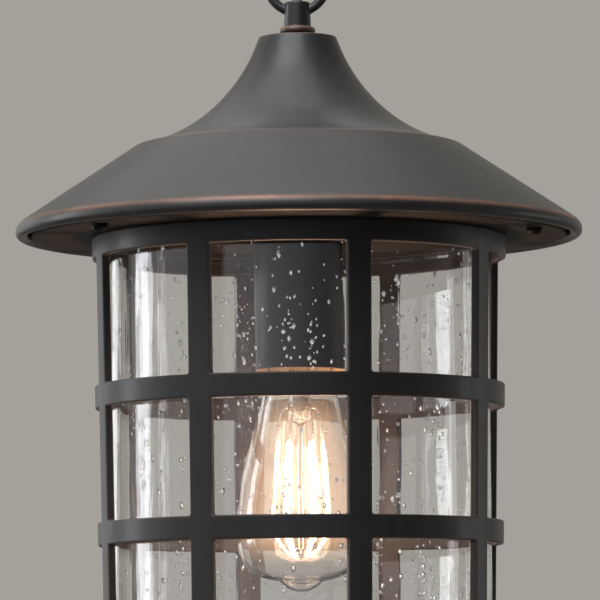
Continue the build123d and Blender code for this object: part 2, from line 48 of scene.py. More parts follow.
# Sizes of the solids that this script dresses, in millimetres

ROOF_TOP = -36.55
SHOULDER = (73.4, -86.39)  # radius and height, as in every profile below
ROOF_RADIUS = 127.0
ROOF_WALL = 2.0
ROOF_PLATE = 2.6
CONE = math.radians(33.65)
BEAD_Z = -124.9616
BEAD_R = 2.7
RIM_ARC = 5.4
STEM_HOLE = 4.9
PAN_FOOT = -127.3616
PAN_TOP = -125.3616
ROOF_SCREWS = np.radians([-135.0, -15.0, 105.0])
ROOF_SCREW_CIRCLE = 111.2
CAGE_TOP = PAN_FOOT
CAGE_FOOT = -328.0616
CAGE_TOP_R = 92.85
CAGE_FOOT_R = 89.4
CAGE_WALL = 3.6
CAGE_BOSSES = math.pi / 8 + np.arange(4) * math.pi / 2
CAGE_BOSS_CIRCLE = 88.6
CAGE_BOSS_REACH = 90.0
BAR = 10.8
CORNER = 1.1
# Top and foot of each row of windows
WINDOWS = ((-137.0616, -193.6616), (-204.0616, -254.8616), (-265.2616, -316.0616))
HALF_RING = 5.2
LIP = 5.6
LIP_HEIGHT = 3.0
GLASS_R = 85.2
GLASS_WALL = 3.0
GLASS_TOP = -129.7616
GLASS_FOOT = -323.4616
CUP_R = 20.15
CUP_WALL = 0.9
CUP_TOP = -123.2616
CUP_FOOT = -186.9616
BASE_R = 13.1
BASE_FOOT = -171.5616
BASE_TOP = -149.0616
LAMP_TIP = -285.9616
LAMP_WALL = 0.9
FLARE = LAMP_TIP + 82.0
FILAMENT_TOP = (10.0, LAMP_TIP + 68.0)
FILAMENT_R = 0.95
WIRE_R = 0.34


# Camera, at the photograph's angle. Lengths are in metres and CAMERA_TILT to CAMERA_OFF_AXIS in degrees

CAMERA_DISTANCE = 2.233
CAMERA_HEIGHT = -0.34725
CAMERA_SIDE = math.radians(6.0)
CAMERA_TILT = 4.915
CAMERA_ROLL = -0.40
CAMERA_OFF_AXIS = 0.0072


def make_camera():
    """A long lens at the height of the lantern's foot, a little to its right, looking up by five degrees."""
    data = bpy.data.cameras.new("camera")
    data.lens = 300
    data.sensor_width = 36
    data.clip_start = 0.1
    data.clip_end = 60
    camera = bpy.data.objects.new("camera", data)
    bpy.context.scene.collection.objects.link(camera)
    bpy.context.scene.camera = camera
    x, y = CAMERA_DISTANCE * math.sin(CAMERA_SIDE), -CAMERA_DISTANCE * math.cos(CAMERA_SIDE)
    place = Matrix.Translation((x, y, CAMERA_HEIGHT))
    turn = Matrix.Rotation(CAMERA_SIDE - math.radians(CAMERA_OFF_AXIS), 4, "Z")
    tilt = Matrix.Rotation(math.radians(90 + CAMERA_TILT), 4, "X")
    roll = Matrix.Rotation(math.radians(CAMERA_ROLL), 4, "Z")
    camera.matrix_world = place @ turn @ tilt @ roll


make_camera()


# Supply cord, from the collar's top up behind the loop

CORD_RADIUS = 0.0023
cord_exit = (0.0, 0.0, -0.02065)
# Across, back and up from the exit, in millimetres
cord_route = (
    (0.0, 0.0, 0.0),
    (0.0, 0.0, 5.0),
    (0.2, 3.9, 9.6),
    (0.5, 9.3, 14.2),
    (0.8, 13.2, 21.2),
    (0.5, 13.6, 30.2),
    (-0.4, 12.6, 39.4),
    (-1.1, 11.4, 48.4),
    (-1.3, 10.8, 57.2),
)


def make_cord():
    """The free stretch of the cord, a round jacket on one smooth line."""
    curve = bpy.data.curves.new("supply_cord_run", "CURVE")
    curve.dimensions = "3D"
    spline = curve.splines.new("NURBS")
    spline.points.add(len(cord_route) - 1)
    for point, (x, y, rise) in zip(spline.points, cord_route):
        point.co = (x * MM, y * MM, cord_exit[2] + rise * MM, 1)
        point.radius = CORD_RADIUS
    spline.order_u = 3
    spline.use_endpoint_u = True
    spline.resolution_u = 12
    curve.bevel_depth = 1.0
    curve.bevel_resolution = 8
    curve.use_fill_caps = True
    cord = bpy.data.objects.new("supply_cord_run", curve)
    bpy.context.scene.collection.objects.link(cord)
    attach(cord, "root")
    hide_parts("supply_cord")
    return cord


cord = make_cord()


# Surfaces: every shape is a grid of points worked out as whole arrays

WELD = 2e-6  # metres
SAME_POINT = 1e-4  # millimetres


def quads(rows, columns, wrap_rows=False, wrap_columns=False):
    """Corners of the four-sided faces between neighbours of a grid, row by row."""
    i = np.arange(rows if wrap_rows else rows - 1)[:, None]
    j = np.arange(columns if wrap_columns else columns - 1)[None, :]
    down, across = (i + 1) % rows, (j + 1) % columns
    corners = (i * columns + j, i * columns + across, down * columns + across, down * columns + j)
    return np.stack(np.broadcast_arrays(*corners), axis=-1).reshape(-1, 4)


def sheet(points, wear=0.0, wrap_rows=False, wrap_columns=False):
    """A grid of points in millimetres with the wear of each, and its faces."""
    rows, columns = points.shape[:2]
    worn = np.broadcast_to(np.asarray(wear, float), (rows, columns)).reshape(-1)
    return points.reshape(-1, 3), worn, quads(rows, columns, wrap_rows, wrap_columns)


def surface(name, *sheets):
    """One smooth mesh from sheets of points; shared edges are closed and faces turned outwards."""
    points, worn, faces = zip(*sheets)
    starts = np.cumsum([0] + [len(part) for part in points])
    corners = np.concatenate([part + start for part, start in zip(faces, starts)])
    mesh = bpy.data.meshes.new(name)
    mesh.from_pydata((np.concatenate(points) * MM).tolist(), [], corners.tolist())
    layer = mesh.attributes.new("wear", "FLOAT", "POINT")
    layer.data.foreach_set("value", np.concatenate(worn).astype(np.float32))
    work = bmesh.new()
    work.from_mesh(mesh)
    bmesh.ops.remove_doubles(work, verts=work.verts, dist=WELD)
    bmesh.ops.recalc_face_normals(work, faces=work.faces)
    work.to_mesh(mesh)
    work.free()
    mesh.polygons.foreach_set("use_smooth", np.ones(len(mesh.polygons), bool))
    made = bpy.data.objects.new(name, mesh)
    bpy.context.scene.collection.objects.link(made)
    return made


def swung(x, y, z, angle):
    """Points turned about Z by an angle: (x cos a - y sin a, x sin a + y cos a, z)."""
    cos, sin = np.cos(angle), np.sin(angle)
    return np.stack(np.broadcast_arrays(x * cos - y * sin, x * sin + y * cos, z), axis=-1)


def polar(radius, angle, height):
    """Points (radius cos a, radius sin a, height)."""
    return swung(radius, 0.0, height, angle)


def circle(count):
    """Evenly spaced angles once round."""
    return np.linspace(0, 2 * math.pi, count, endpoint=False)


def arc(centre, radius, start, end, steps):
    """Points (radius, height) at centre + radius (cos a, sin a), a in degrees from start to end."""
    a = np.radians(np.linspace(start, end, steps + 1))
    return np.stack([centre[0] + radius * np.cos(a), centre[1] + radius * np.sin(a)], axis=1)


def bezier(p0, p1, p2, p3, steps):
    """Points along a cubic curve, the four corners weighted by s³, 3s²t, 3st² and t³."""
    t = np.linspace(0, 1, steps + 1)[:, None]
    s = 1 - t
    p0, p1, p2, p3 = (np.asarray(p, float) for p in (p0, p1, p2, p3))
    return s**3 * p0 + 3 * s * s * t * p1 + 3 * s * t * t * p2 + t**3 * p3


def straight(p, q, steps):
    """Points evenly along a line, with both ends."""
    return np.linspace(np.asarray(p, float), np.asarray(q, float), steps + 1)


def outline(*stretches):
    """Joins (points, wear) stretches into one outline, without points that fall on the last one."""
    points = np.concatenate([np.asarray(p, float) for p, w in stretches])
    worn = np.concatenate([np.broadcast_to(np.asarray(w, float), (len(p),)) for p, w in stretches])
    step = np.linalg.norm(np.diff(points, axis=0), axis=1)
    keep = np.concatenate([[True], step > SAME_POINT])
    return points[keep], worn[keep]


def turned(profile, steps, shift=None):
    """A closed outline (radius, height) turned about Z; shift(angle, height) is added to the radius."""
    points, worn = profile
    angle = circle(steps)[:, None]
    radius, height = points[None, :, 0], points[None, :, 1]
    if shift is not None:
        radius = radius + shift(angle, height)
    return sheet(polar(radius, angle, height), worn[None, :], wrap_rows=True, wrap_columns=True)


def hump(steps):
    """Wear that is full in the middle of a rounded edge and fades to both its sides."""
    return np.sin(np.linspace(0, math.pi, steps + 1)) ** 2


def rods(path, radius, turns, sides=14):
    """Round rods along a line of (distance from the axis, height), one at each angle about Z.

    A rod's points are the line's plus radius (cos b) along its side and radius (sin b) across it.
    The radius may change along the line, and is nought at a closed end.
    """
    way = np.gradient(path, axis=0)
    way /= np.linalg.norm(way, axis=1)[:, None]
    side = np.stack([way[:, 1], -way[:, 0]], axis=1)
    b = circle(sides)[None, :]
    thick = np.broadcast_to(radius, (len(path),))[:, None]
    reach = path[:, 0, None] + side[:, 0, None] * thick * np.cos(b)
    height = path[:, 1, None] + side[:, 1, None] * thick * np.cos(b)
    across = thick * np.sin(b)
    return [sheet(swung(reach, across, height, a), wrap_columns=True) for a in turns]


def post(reach, profile, sides):
    """An upright post turned from an outline (radius, height), at a distance from Z: its x, y and z."""
    b = circle(sides)[:, None]
    x, y = reach + profile[None, :, 0] * np.cos(b), profile[None, :, 0] * np.sin(b)
    return x, y, np.broadcast_to(profile[None, :, 1], x.shape)


def tapered_ends(count, radius, taper=3):
    """A rod's radius along its line, rounded off over the first and last few points."""
    t = np.linspace(0, 1, taper + 1)
    end = np.sqrt(1 - (1 - t) ** 2)
    share = np.ones(count)
    share[: taper + 1] = end
    share[-taper - 1 :] = end[::-1]
    return radius * share


# Nodes


def rgb(r, g, b):
    """A colour with its alpha."""
    return (r, g, b, 1.0)


def new_material(name):
    """An empty node material with its output."""
    material = bpy.data.materials.new(name)
    material.use_nodes = True
    material.node_tree.nodes.clear()
    output = material.node_tree.nodes.new("ShaderNodeOutputMaterial")
    return material, material.node_tree, output


def add(tree, kind, values=None, **settings):
    """A node with its settings and its inputs, each a value or another node's socket."""
    made = tree.nodes.new("ShaderNode" + kind)
    for key, value in settings.items():
        setattr(made, key, value)
    for key, value in (values or {}).items():
        if isinstance(value, bpy.types.NodeSocket):
            tree.links.new(value, made.inputs[key])
        else:
            made.inputs[key].default_value = value
    return made


def maths(tree, operation, a, b=0.5, clamp=False):
    """One step of arithmetic."""
    return add(tree, "Math", {0: a, 1: b}, operation=operation, use_clamp=clamp).outputs[0]


def where(tree):
    """The piece's own coordinates, in metres."""
    return add(tree, "TexCoord").outputs["Object"]


def noise(tree, place, scale, detail, roughness, distortion=0.0):
    """Noise of about 1/scale metres."""
    values = {
        "Vector": place,
        "Scale": scale,
        "Detail": detail,
        "Roughness": roughness,
        "Distortion": distortion,
    }
    return add(tree, "TexNoise", values).outputs[0]


def span(tree, value, low, high, to_low=0.0, to_high=1.0, soft=False):
    """Maps a range to another, held at its ends."""
    values = {0: value, 1: low, 2: high, 3: to_low, 4: to_high}
    kind = "SMOOTHSTEP" if soft else "LINEAR"
    return add(tree, "MapRange", values, clamp=True, interpolation_type=kind).outputs[0]


def blend(tree, share, a, b):
    """A mix of two colours."""
    return add(tree, "Mix", {0: share, 6: a, 7: b}, data_type="RGBA").outputs[2]


def stretched(tree, place, x, y, z):
    """Coordinates scaled on each axis."""
    return add(tree, "Mapping", {0: place, 3: (x, y, z)}).outputs[0]


def bump(tree, height, distance, strength=1.0, normal=None):
    """A normal from a height, its distance in metres."""
    values = {"Height": height, "Distance": distance, "Strength": strength}
    if normal is not None:
        values["Normal"] = normal
    return add(tree, "Bump", values).outputs[0]


def new_group(name, inputs, outputs):
    """An empty shader group with its sockets: name and kind, and a value for an input."""
    tree = bpy.data.node_groups.new(name, "ShaderNodeTree")
    for label, kind, value in inputs:
        socket = tree.interface.new_socket(label, in_out="INPUT", socket_type="NodeSocket" + kind)
        if value is not None:
            socket.default_value = value
    for label, kind in outputs:
        tree.interface.new_socket(label, in_out="OUTPUT", socket_type="NodeSocket" + kind)
    return tree, tree.nodes.new("NodeGroupInput").outputs, tree.nodes.new("NodeGroupOutput").inputs


def use(tree, group, values):
    """A group placed in a material with the material's own values."""
    return add(tree, "Group", values, node_tree=group).outputs


def shaded(tree, output, values):
    """A Principled BSDF with its values, as the material's surface."""
    shader = add(tree, "BsdfPrincipled", values)
    tree.links.new(shader.outputs[0], output.inputs[0])


def height_of(tree, place):
    """The height in a piece's coordinates, or how far a normal looks up."""
    return add(tree, "SeparateXYZ", {0: place}).outputs[2]


def make_rubbing():
    """Where a finish is rubbed through on its edges: broken by fine grain, more in some places."""
    sockets = [("Place", "Vector", None), ("Amount", "Float", 1.0), ("Fineness", "Float", 420.0)]
    tree, given, out = new_group("edge_rubbing", sockets, [("Mask", "Float")])
    edge = add(tree, "Attribute", attribute_name="wear").outputs["Fac"]
    broken = span(tree, noise(tree, given["Place"], given["Fineness"], 4, 0.7), 0.3, 0.6, 0.6, 1.0)
    patchy = span(tree, noise(tree, given["Place"], 26, 2, 0.5), 0.35, 0.6, 0.5, 1.0)
    mask = maths(tree, "MULTIPLY", maths(tree, "MULTIPLY", edge, broken), patchy)
    tree.links.new(maths(tree, "MULTIPLY", mask, given["Amount"], True), out["Mask"])
    return tree


def make_clouding():
    """A slow cloudiness crossed by faint upright streaks, between nought and one."""
    sockets = [("Place", "Vector", None), ("Scale", "Float", 60.0)]
    tree, given, out = new_group("clouding", sockets, [("Tone", "Float")])
    cloud = noise(tree, given["Place"], given["Scale"], 4, 0.6, 0.5)
    streak = noise(tree, stretched(tree, given["Place"], 1, 1, 0.3), 190, 3, 0.6)
    tone = maths(tree, "ADD", maths(tree, "MULTIPLY", cloud, 0.65), maths(tree, "MULTIPLY", streak, 0.35))
    tree.links.new(span(tree, tone, 0.36, 0.64), out["Tone"])
    return tree


def make_grain():
    """Fine grain of a sprayed or cast skin, with a slower unevenness under it, as a normal."""
    sockets = [
        ("Place", "Vector", None),
        ("Scale", "Float", 2000.0),
        ("Depth", "Float", 0.00003),
        ("Swell", "Float", 0.0001),
    ]
    tree, given, out = new_group("fine_grain", sockets, [("Normal", "Vector")])
    slow = bump(tree, noise(tree, given["Place"], 90, 2, 0.5), given["Swell"], 0.7)
    fine = noise(tree, given["Place"], given["Scale"], 2, 0.6)
    tree.links.new(bump(tree, fine, given["Depth"], 0.7, slow), out["Normal"])
    return tree


def make_settled_dust():
    """Where dust lies: on faces that look up, in patches."""
    tree, given, out = new_group("settled_dust", [("Place", "Vector", None)], [("Mask", "Float")])
    up = height_of(tree, add(tree, "NewGeometry").outputs["Normal"])
    patch = span(tree, noise(tree, given["Place"], 45, 5, 0.65), 0.42, 0.7)
    tree.links.new(maths(tree, "MULTIPLY", span(tree, up, 0.35, 0.95), patch, True), out["Mask"])
    return tree


rubbing = make_rubbing()
clouding = make_clouding()
grain = make_grain()
settled_dust = make_settled_dust()

# Finishes

COPPER = rgb(0.27, 0.145, 0.10)
DUST = rgb(0.16, 0.15, 0.14)
DARK, LIGHT = rgb(0.0105, 0.0095, 0.0092), rgb(0.0155, 0.0142, 0.0138)
DUST_AMOUNT = 0.1
RUBBED_METALLIC = 0.55
COAT = 0.22
COAT_ROUGHNESS = 0.22
FADE = 0.001


def bronze(
    name,
    roughness,
    grain_scale,
    grain_depth,
    dark=DARK,
    light=LIGHT,
    worn=1.0,
    swell=0.0001,
    gloss=1.0,
    bare=COPPER,
):
    """Oil-rubbed bronze: a nearly black satin coat, rubbed through along its edges.

    worn is how far it is rubbed and bare what then shows. grain_depth and swell are the heights, in
    metres, of the coat's grain and of its slower unevenness. gloss scales the skin's reflection.
    """
    material, tree, output = new_material(name)
    place = where(tree)
    tone = use(tree, clouding, {"Place": place, "Scale": 48.0})["Tone"]
    colour = blend(tree, tone, dark, light)
    dust = use(tree, settled_dust, {"Place": place})["Mask"]
    colour = blend(tree, maths(tree, "MULTIPLY", dust, DUST_AMOUNT), colour, DUST)
    rub = use(tree, rubbing, {"Place": place, "Amount": worn})["Mask"]
    colour = blend(tree, rub, colour, bare)
    rough = span(tree, tone, 0.0, 1.0, roughness - 0.02, roughness + 0.03)
    rough = maths(tree, "ADD", rough, maths(tree, "MULTIPLY", dust, 0.06))
    values = {"Place": place, "Scale": grain_scale, "Depth": grain_depth, "Swell": swell}
    look = {
        "Base Color": colour,
        "Metallic": maths(tree, "MULTIPLY", rub, RUBBED_METALLIC),
        "Roughness": rough,
        "Specular IOR Level": 0.5 * gloss,
        "Coat Weight": COAT * gloss,
        "Coat Roughness": COAT_ROUGHNESS,
        "Normal": use(tree, grain, values)["Normal"],
    }
    shaded(tree, output, look)
    return material


def satin(name, dark, light, roughness, metallic=0.0, scale=120.0, grain_scale=2500.0, depth=0.00002):
    """A plain satin surface with a slight cloudiness and a fine grain."""
    material, tree, output = new_material(name)
    place = where(tree)
    tone = use(tree, clouding, {"Place": place, "Scale": scale})["Tone"]
    values = {"Place": place, "Scale": grain_scale, "Depth": depth, "Swell": depth}
    look = {
        "Base Color": blend(tree, tone, dark, light),
        "Metallic": metallic,
        "Roughness": span(tree, tone, 0.0, 1.0, roughness - 0.04, roughness + 0.05),
        "Normal": use(tree, grain, values)["Normal"],
    }
    shaded(tree, output, look)
    return material


def threaded(name, dark, light, roughness, pitch, depth, low, high):
    """Plated metal with a fine thread between two heights: a bump that repeats once each pitch.

    The thread fades out over FADE at both ends, and its grooves are painted darker, as painted shade.
    Lengths are in metres.
    """
    material, tree, output = new_material(name)
    place = where(tree)
    tone = use(tree, clouding, {"Place": place, "Scale": 200.0})["Tone"]
    height = height_of(tree, place)
    wave = maths(tree, "SINE", maths(tree, "MULTIPLY", height, 2 * math.pi / pitch))
    above, below = span(tree, height, low, low + FADE), span(tree, height, high - FADE, high, 1.0, 0.0)
    groove = maths(tree, "MULTIPLY", wave, maths(tree, "MULTIPLY", above, below))
    # Painted shade: the colour falls to the dark tone in the thread's grooves
    colour = blend(tree, span(tree, groove, -1.0, 0.2), dark, blend(tree, tone, dark, light))
    look = {
        "Base Color": colour,
        "Metallic": 1.0,
        "Roughness": span(tree, tone, 0.0, 1.0, roughness - 0.05, roughness + 0.07),
        "Normal": bump(tree, groove, depth),
    }
    shaded(tree, output, look)
    return material


def clear_glass(name, colour, bends, glow=None, painted_glint=None):
    """Clear glass with slow waves, each (stretch, scale, depth). The lamp's light goes through it.

    glow is a colour and two heights: a painted warm glow between them, standing in for the bloom round the
    filaments, seen where the glass faces the eye. painted_glint is a painted glint, a faint light that the
    seeds give off as their own, on the faces whose wear is one; there the wear only marks the seeds.
    """
    material, tree, output = new_material(name)
    place = where(tree)
    normal = None
    for stretch, scale, depth in bends:
        slow = noise(tree, stretched(tree, place, *stretch), scale, 2, 0.5, 0.3)
        normal = bump(tree, slow, depth, 1.0, normal)
    values = {
        "Base Color": colour,
        "Roughness": 0.0,
        "IOR": 1.5,
        "Transmission Weight": 1.0,
        "Normal": normal,
    }
    # Painted glow: warm light given off by the lamp's glass itself, standing in for the filaments' bloom
    if glow is not None:
        tint, low, high = glow
        middle, half = (low + high) / 2, (high - low) / 2
        off = maths(tree, "ABSOLUTE", maths(tree, "SUBTRACT", height_of(tree, place), middle))
        level = span(tree, off, half * 0.45, half, 1.0, 0.0, True)
        facing = add(tree, "LayerWeight", {"Blend": 0.5}).outputs["Facing"]
        level = maths(tree, "MULTIPLY", level, span(tree, facing, 0.0, 0.62, 1.0, 0.0, True))
        values["Emission Color"] = blend(tree, level, rgb(0, 0, 0), tint)
        values["Emission Strength"] = 1.0
    # Painted glint: the seeds' faces, whose wear is one, give off a faint light of their own
    if painted_glint is not None:
        seeds = add(tree, "Attribute", attribute_name="wear").outputs["Fac"]
        uneven = span(tree, noise(tree, place, 600, 2, 0.5), 0.35, 0.65, 0.2, 1.0)
        values["Emission Color"] = blend(tree, maths(tree, "MULTIPLY", seeds, uneven), rgb(0, 0, 0), painted_glint)
        values["Emission Strength"] = 1.0
    shader = add(tree, "BsdfPrincipled", values)
    through = add(tree, "BsdfTransparent", {"Color": colour})
    path = add(tree, "LightPath")
    lamps = maths(tree, "MAXIMUM", path.outputs["Is Shadow Ray"], path.outputs["Is Diffuse Ray"])
    mix = add(tree, "MixShader", {0: lamps, 1: shader.outputs[0], 2: through.outputs[0]})
    tree.links.new(mix.outputs[0], output.inputs[0])
    return material


FILAMENT_STRENGTH = 6.0


def make_filament():
    """Glowing rods: a burnt-out core, a little deeper in colour at the edge."""
    material, tree, output = new_material("filament")
    facing = add(tree, "LayerWeight", {"Blend": 0.4}).outputs["Facing"]
    grains = span(tree, noise(tree, where(tree), 900, 2, 0.5), 0.3, 0.7, 0.85, 1.0)
    core, rim, pits = rgb(1.0, 0.86, 0.62), rgb(1.0, 0.62, 0.30), rgb(0.9, 0.55, 0.25)
    colour = blend(tree, grains, pits, blend(tree, facing, core, rim))
    glow = add(tree, "Emission", {"Color": colour, "Strength": FILAMENT_STRENGTH})
    tree.links.new(glow.outputs[0], output.inputs[0])
    return material


BRONZES = {
    "loop_bronze": dict(roughness=0.42, grain_scale=2200.0, grain_depth=0.00002),
    "roof_bronze": dict(roughness=0.47, grain_scale=2200.0, grain_depth=0.000025),
    "cage_bronze": dict(roughness=0.52, grain_scale=1500.0, grain_depth=0.00003, worn=0.25),
    "pan_bronze": dict(
        roughness=0.8,
        grain_scale=2000.0,
        grain_depth=0.00003,
        dark=rgb(0.019, 0.016, 0.0125),
        light=rgb(0.026, 0.022, 0.017),
        gloss=0.25,
    ),
    "black_cup": dict(
        roughness=0.42,
        grain_scale=2400.0,
        grain_depth=0.000002,
        swell=0.00002,
        gloss=0.42,
        bare=rgb(0.6, 0.46, 0.3),
    ),
}
# The dark and the light tone, the roughness, and what else a finish needs
SATINS = {
    "rubber": ((0.012, 0.012, 0.012), (0.022, 0.021, 0.02), 0.62, {}),
    "black_plastic": ((0.014, 0.014, 0.014), (0.024, 0.024, 0.023), 0.42, {}),
    "cord_jacket": (
        (0.13, 0.118, 0.11),
        (0.18, 0.165, 0.155),
        0.5,
        dict(scale=300.0, grain_scale=1800.0, depth=0.00005),
    ),
    "bare_copper": ((0.72, 0.36, 0.2), (0.86, 0.47, 0.28), 0.3, dict(metallic=1.0, scale=600.0)),
    "zinc_steel": ((0.5, 0.5, 0.5), (0.66, 0.66, 0.65), 0.34, dict(metallic=1.0)),
    "bright_aluminium": ((0.6, 0.6, 0.6), (0.76, 0.76, 0.76), 0.36, dict(metallic=1.0)),
    "porcelain": ((0.74, 0.72, 0.67), (0.8, 0.78, 0.73), 0.16, dict(scale=40.0, grain_scale=500.0)),
    "brass": ((0.62, 0.43, 0.16), (0.76, 0.56, 0.26), 0.28, dict(metallic=1.0)),
    "green_screw": ((0.05, 0.2, 0.09), (0.08, 0.3, 0.14), 0.34, dict(metallic=0.9)),
    "black_lead": ((0.015, 0.015, 0.015), (0.026, 0.026, 0.026), 0.4, dict(scale=300.0)),
    "white_lead": ((0.68, 0.67, 0.64), (0.76, 0.75, 0.72), 0.42, dict(scale=300.0)),
    "black_steel": ((0.008, 0.0075, 0.007), (0.014, 0.0135, 0.013), 0.38, {}),
    "nickel": ((0.56, 0.54, 0.5), (0.7, 0.68, 0.64), 0.24, dict(metallic=1.0)),
    "black_glass": ((0.01, 0.01, 0.012), (0.018, 0.018, 0.02), 0.12, {}),
    "solder": ((0.6, 0.6, 0.6), (0.72, 0.72, 0.72), 0.3, dict(metallic=1.0, scale=500.0)),
    "circuit_board": ((0.03, 0.12, 0.06), (0.05, 0.18, 0.08), 0.4, dict(scale=700.0)),
}
# Waves in the glass: stretch on each axis, scale and depth
MILD = ((1, 1, 0.4), 42.0, 0.00022)
DRAWN = ((1, 1, 0.05), 260.0, 0.00003)
BLOWN = ((1, 1, 0.5), 30.0, 0.00015)
TUBE = ((1, 1, 0.5), 120.0, 0.0002)
# The painted warm glow inside the lamp, a stand-in for the filaments' bloom, from its foot to its top
PAINTED_BLOOM = (rgb(0.15, 0.085, 0.045), -0.280, -0.192)
# Painted glint of the seeds, a faint light given off by their faces
PAINTED_SEED_GLINT = rgb(0.15, 0.15, 0.153)

finishes = {name: bronze(name, **values) for name, values in BRONZES.items()}
for name, (dark, light, roughness, values) in SATINS.items():
    finishes[name] = satin(name, rgb(*dark), rgb(*light), roughness, **values)
finishes["seeded_glass"] = clear_glass(
    "seeded_glass", rgb(0.994, 0.994, 0.989), (MILD, DRAWN), painted_glint=PAINTED_SEED_GLINT
)
finishes["lamp_glass"] = clear_glass("lamp_glass", rgb(0.997, 0.993, 0.988), (BLOWN,), glow=PAINTED_BLOOM)
finishes["filament"] = make_filament()

# Finishes that only one node has: threads on the pipe and the screws, and the lamp's stem
stem_glass = clear_glass("stem_glass", rgb(0.99, 0.99, 0.985), (TUBE,))
own_finishes = {
    "stem_pipe": threaded(
        "threaded_pipe",
        rgb(0.3, 0.3, 0.29),
        rgb(0.66, 0.66, 0.65),
        roughness=0.32,
        pitch=0.00094,
        depth=0.00025,
        low=-0.144,
        high=-0.021,
    )
}
for number in (1, 2, 3):
    own_finishes[f"roof_screw_{number}"] = threaded(
        f"screw_thread_{number}",
        rgb(0.008, 0.008, 0.008),
        rgb(0.03, 0.03, 0.029),
        roughness=0.36,
        pitch=0.0007,
        depth=0.0002,
        low=-0.1273,
        high=-0.104,
    )


def finish_with(piece, slot, own=None):
    """Gives a piece the finish of its slot, or its own finish."""
    piece.data.materials.clear()
    piece.data.materials.append(own or finishes[slot])
    return piece


for row in frame["record"]["subparts"]:
    finish_with(nodes[row["node"]], row["material_slot"], own_finishes.get(row["node"]))
finish_with(cord, "cord_jacket")


def put(piece, body, slot, *replaced, own=None):
    """A finished piece on its body, in place of the solids that it dresses."""
    finish_with(piece, slot, own)
    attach(piece, body)
    if replaced:
        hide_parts(*replaced)
    return piece


# Roof


def cone_z(radius, depth=0.0):
    """Height of the cone at a radius, or depth below it."""
    return SHOULDER[1] - (radius - SHOULDER[0]) * math.tan(CONE) - depth / math.cos(CONE)


def bell(depth):
    """The bell's curve from the top plate to the shoulder: a cubic that leaves at 71.6° and lands at 9.9°.

    Its inner curve lies depth inside the outer one, and starts at the underside of the top plate.
    """
    steep, flat, leave, land = math.radians(71.6), math.radians(9.9), 26.5, 25.9
    top = (17.65 - depth / math.sin(steep), ROOF_TOP - (0.45 if depth == 0 else ROOF_PLATE))
    foot_r = SHOULDER[0] - depth * math.sin(CONE)
    foot = (foot_r, cone_z(foot_r, depth))
    a = (top[0] + leave * math.cos(steep), top[1] - leave * math.sin(steep))
    b = (foot[0] - land * math.cos(flat), foot[1] + land * math.sin(flat))
    return bezier(top, a, b, foot, 64)


def make_roof():
    """The spun hood with its rolled bead, turned about Z, and three bosses cut off by the cone."""
    worn_z, worn_spread, eased = -121.9, 0.95, 0.9
    outer, inner = bell(0)[2:-1], bell(ROOF_WALL)[::-1]
    shoulder_out = (SHOULDER[0] + eased, cone_z(SHOULDER[0] + eased))
    shoulder = bezier(outer[-1], SHOULDER, SHOULDER, shoulder_out, 6)
    rim = arc((ROOF_RADIUS - RIM_ARC, BEAD_Z), RIM_ARC, 90 - math.degrees(CONE), 0, 30)
    rim_wear = np.exp(-(((rim[:, 1] - worn_z) / worn_spread) ** 2))
    bead = arc((ROOF_RADIUS - BEAD_R, BEAD_Z), BEAD_R, 0, -235, 44)
    crown = arc((16.75, ROOF_TOP - eased), eased, 90, 20, 6)
    hem = bead[-1][0] - 1.4
    profile = outline(
        (straight((STEM_HOLE, ROOF_TOP), (16.6, ROOF_TOP), 4), 0.0),
        (crown, 0.8 * hump(6)),
        (outer, 0.0),
        (shoulder, 0.8 * hump(6)),
        (straight(shoulder_out, rim[0], 28), 0.0),
        (rim, rim_wear),
        (bead, 0.0),
        (straight((hem, cone_z(hem, ROOF_WALL)), inner[0], 16), 0.0),
        (inner, 0.0),
        (straight((15.0, ROOF_TOP - ROOF_PLATE), (STEM_HOLE, ROOF_TOP - ROOF_PLATE), 3), 0.0),
    )
    parts = [turned(profile, 320)]
    boss = np.array([(2.15, 9.8), (2.15, 0.0), (3.7, 0.0), (3.92, 0.08), (4.0, 0.3), (4.0, 20.0)])
    x, y, z = post(ROOF_SCREW_CIRCLE, boss + (0, PAN_TOP), 28)
    z = np.minimum(z, cone_z(np.hypot(x, y), ROOF_WALL / 2))
    parts += [sheet(swung(x, y, z, a), wrap_rows=True) for a in ROOF_SCREWS]
    return surface("roof_hood", *parts)


put(make_roof(), "root", "roof_bronze", "roof")


# Collar and loop


def make_collar():
    """The collar, a little narrower at its top, with a rounded edge and a half-round flange.

    The flange is worn most at 52 degrees up, and less to both sides of that.
    """
    top, foot, narrow, wide, flange, edge, bead = -20.65, -31.85, 5.6, 6.1, 8.05, 0.6, 1.7
    ring = arc((flange - bead, foot - bead), bead, 90, -90, 24)
    ring_wear = 0.32 + 0.68 * np.exp(-(((np.linspace(90, -90, 25) - 52) / 34) ** 2))
    profile = outline(
        ([(STEM_HOLE, top - 10), (STEM_HOLE, top - 0.1)], 0.0),
        (arc((STEM_HOLE + 0.1, top - 0.1), 0.1, 180, 90, 3), 0.3),
        (arc((narrow - edge, top - edge), edge, 90, 0, 8), 0.35 * hump(8)),
        (straight((narrow, top - edge), (wide, foot + 0.5), 10)[1:], 0.0),
        (arc((wide + 0.35, foot + 0.35), 0.35, 180, 270, 4), 0.0),
        (ring, ring_wear),
        ([(STEM_HOLE, foot - 2 * bead)], 0.0),
    )
    return surface("collar_turned", turned(profile, 112))


put(make_collar(), "root", "loop_bronze", "loop_collar")


